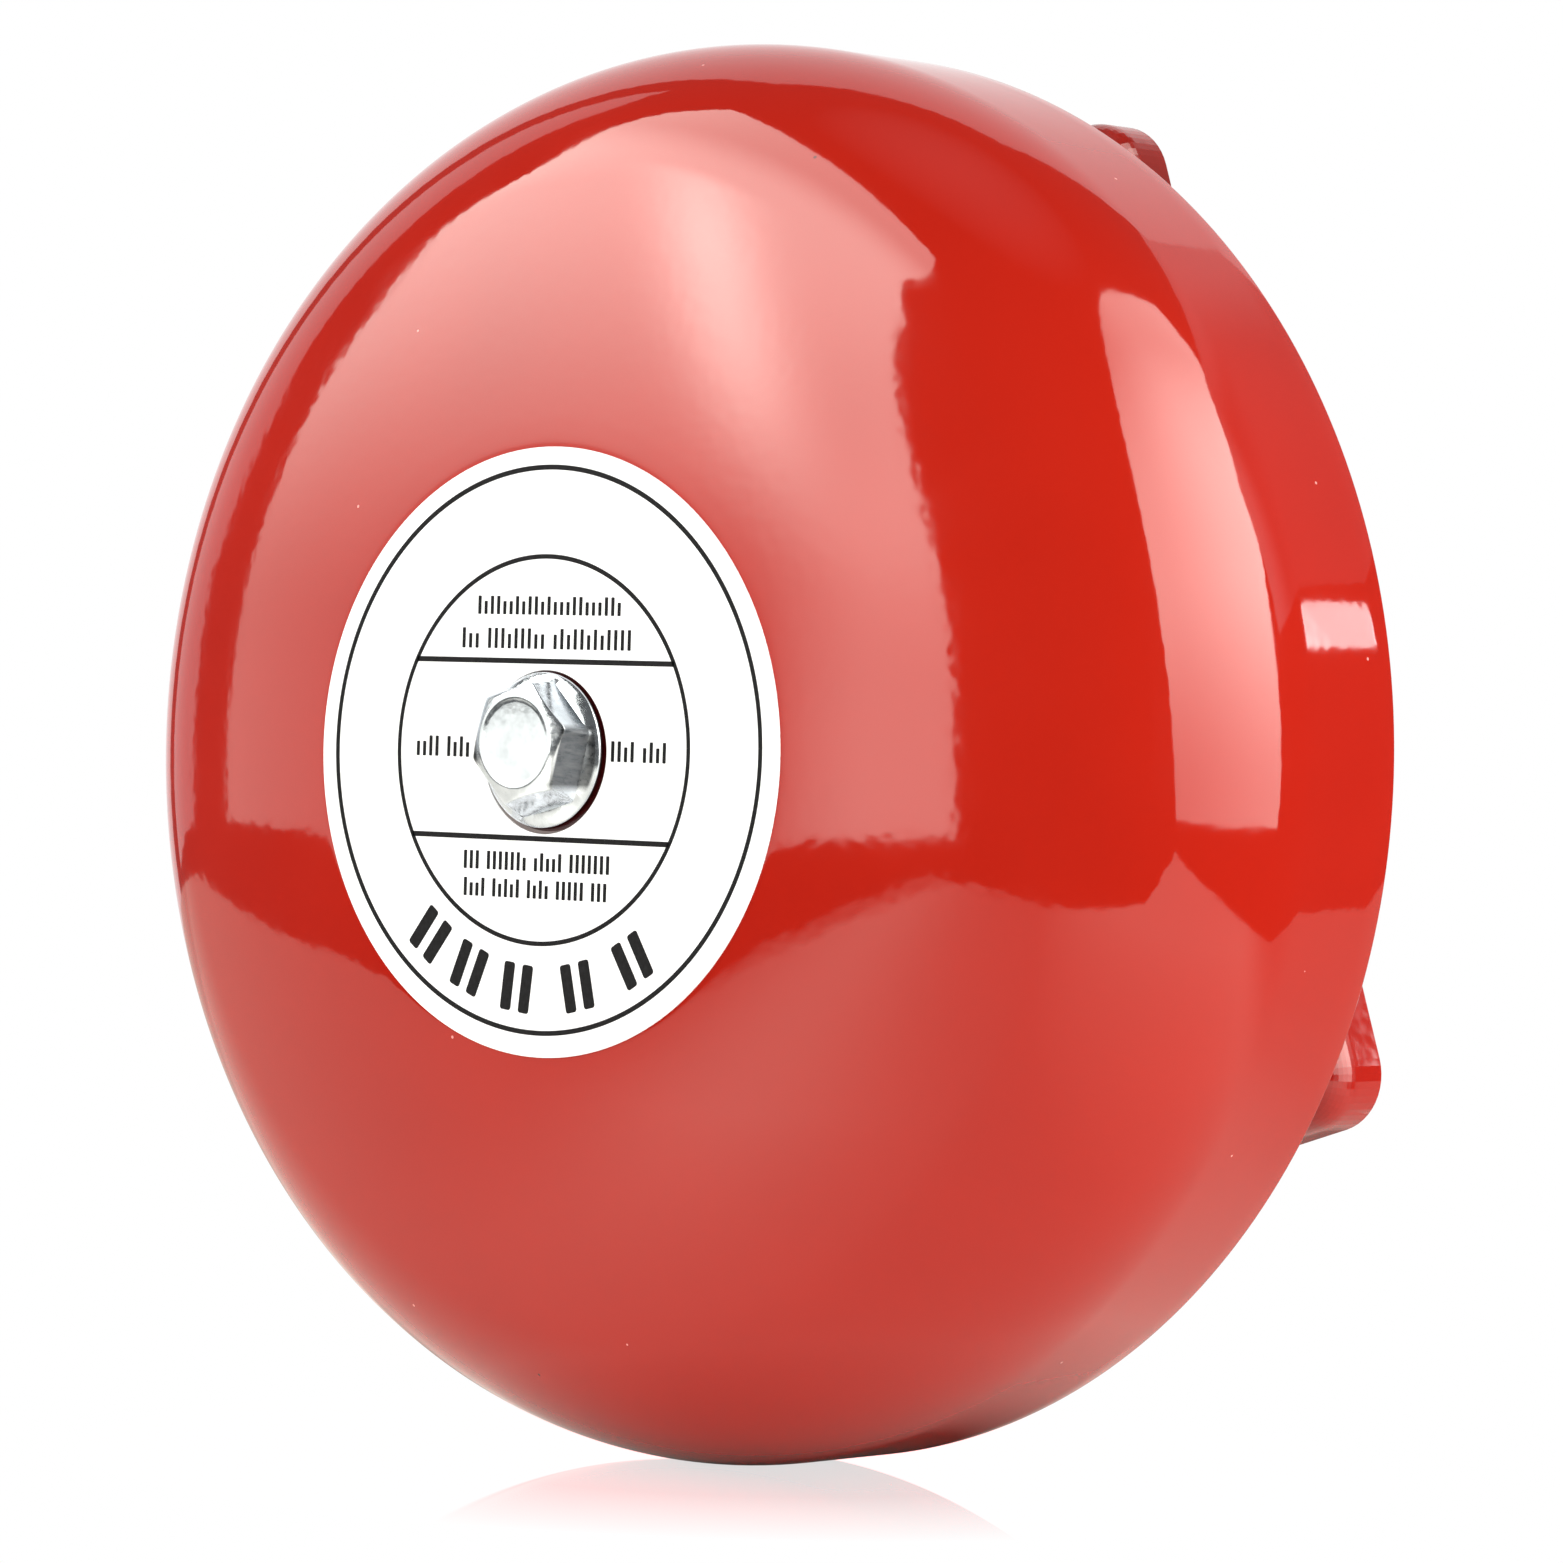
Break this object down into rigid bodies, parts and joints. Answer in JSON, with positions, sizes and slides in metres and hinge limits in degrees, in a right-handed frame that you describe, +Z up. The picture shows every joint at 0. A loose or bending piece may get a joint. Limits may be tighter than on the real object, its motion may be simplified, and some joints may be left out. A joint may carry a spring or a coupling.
{
  "type": "fire alarm bell",
  "caption": "Round red motor-driven fire alarm bell: dished gong on a square wall base, with a sealed mechanism and a sprung striker inside the gong.",
  "frame": {"origin": "centre of the base's back face, on the gong's axis, in the plane of the wall", "axes": "+Y into the wall along the gong's axis, so the gong faces -Y; +Z up, as the label reads"},
  "size_m": [0.15, 0.0592, 0.15],
  "materials": {
    "gong_enamel": "high gloss red enamel",
    "base_paint": "gloss red paint on a die casting",
    "label": "printed white vinyl",
    "zinc": "bright zinc plating",
    "steel": "turned and pressed steel",
    "black_plastic": "moulded, fine texture",
    "rubber": "moulded rubber",
    "brass": "turned brass",
    "nylon": "moulded nylon",
    "ferrite": "sintered ferrite",
    "armature": "lacquered windings on a laminated core",
    "board": "green solder mask",
    "terminal_green": "moulded terminal housing",
    "capacitor_sleeve": "shrink sleeve",
    "diode_black": "moulded epoxy",
    "wire_red": "wire insulation",
    "wire_black": "wire insulation"
  },
  "bodies": {
    "housing": {"base_plate": "base_paint", "cable_grommet": "rubber", "cover_gasket": "rubber", "mechanism_cover": "black_plastic", "cover_screws": "zinc", "gong_post": "steel", "post_seal": "rubber", "gong_pad": "rubber", "gong": "gong_enamel", "gong_label": "label", "gong_bolt": "zinc", "motor_bracket": "steel", "bracket_screws": "zinc", "motor_screws": "zinc", "motor_can": "steel", "motor_magnet": "ferrite", "motor_bearing": "brass", "motor_end_cap": "nylon", "motor_terminals": "brass", "gear_axle": "steel", "gear_washer": "brass", "axle_clip": "steel", "return_spring": "steel", "guide_bush": "brass", "bush_nut": "brass", "striker_seal": "rubber", "circuit_board": "board", "board_screws": "zinc", "terminal_block": "terminal_green", "terminal_screws": "zinc", "capacitor": "capacitor_sleeve", "diode": "diode_black", "lead_red": "wire_red", "lead_black": "wire_black"},
    "motor_rotor": {"motor_shaft": "steel", "motor_armature": "armature", "motor_pinion": "nylon"},
    "cam_wheel": {"cam_gear": "nylon"},
    "striker": {"striker_rod": "steel", "striker_follower": "nylon", "striker_tip": "steel"}
  },
  "joints": [
    {"name": "gear_spin", "type": "hinge", "parent": "housing", "child": "cam_wheel", "pos_m": [0, -0.0125, -0.024], "axis": [0, 1, 0], "continuous": true},
    {"name": "motor_spin", "type": "hinge", "parent": "housing", "child": "motor_rotor", "pos_m": [0.02068, -0.0125, -0.02035], "axis": [0, 1, 0], "continuous": true},
    {"name": "striker_slide", "type": "slide", "parent": "housing", "child": "striker", "axis": [0, 0, -1], "range_m": [0, 0.003], "stiffness_N_per_m": 300, "springref_m": -0.003, "deforming": ["return_spring"]}
  ],
  "couplings": [
    {"joint": "motor_spin", "follows": "gear_spin", "ratio": -4}
  ]
}
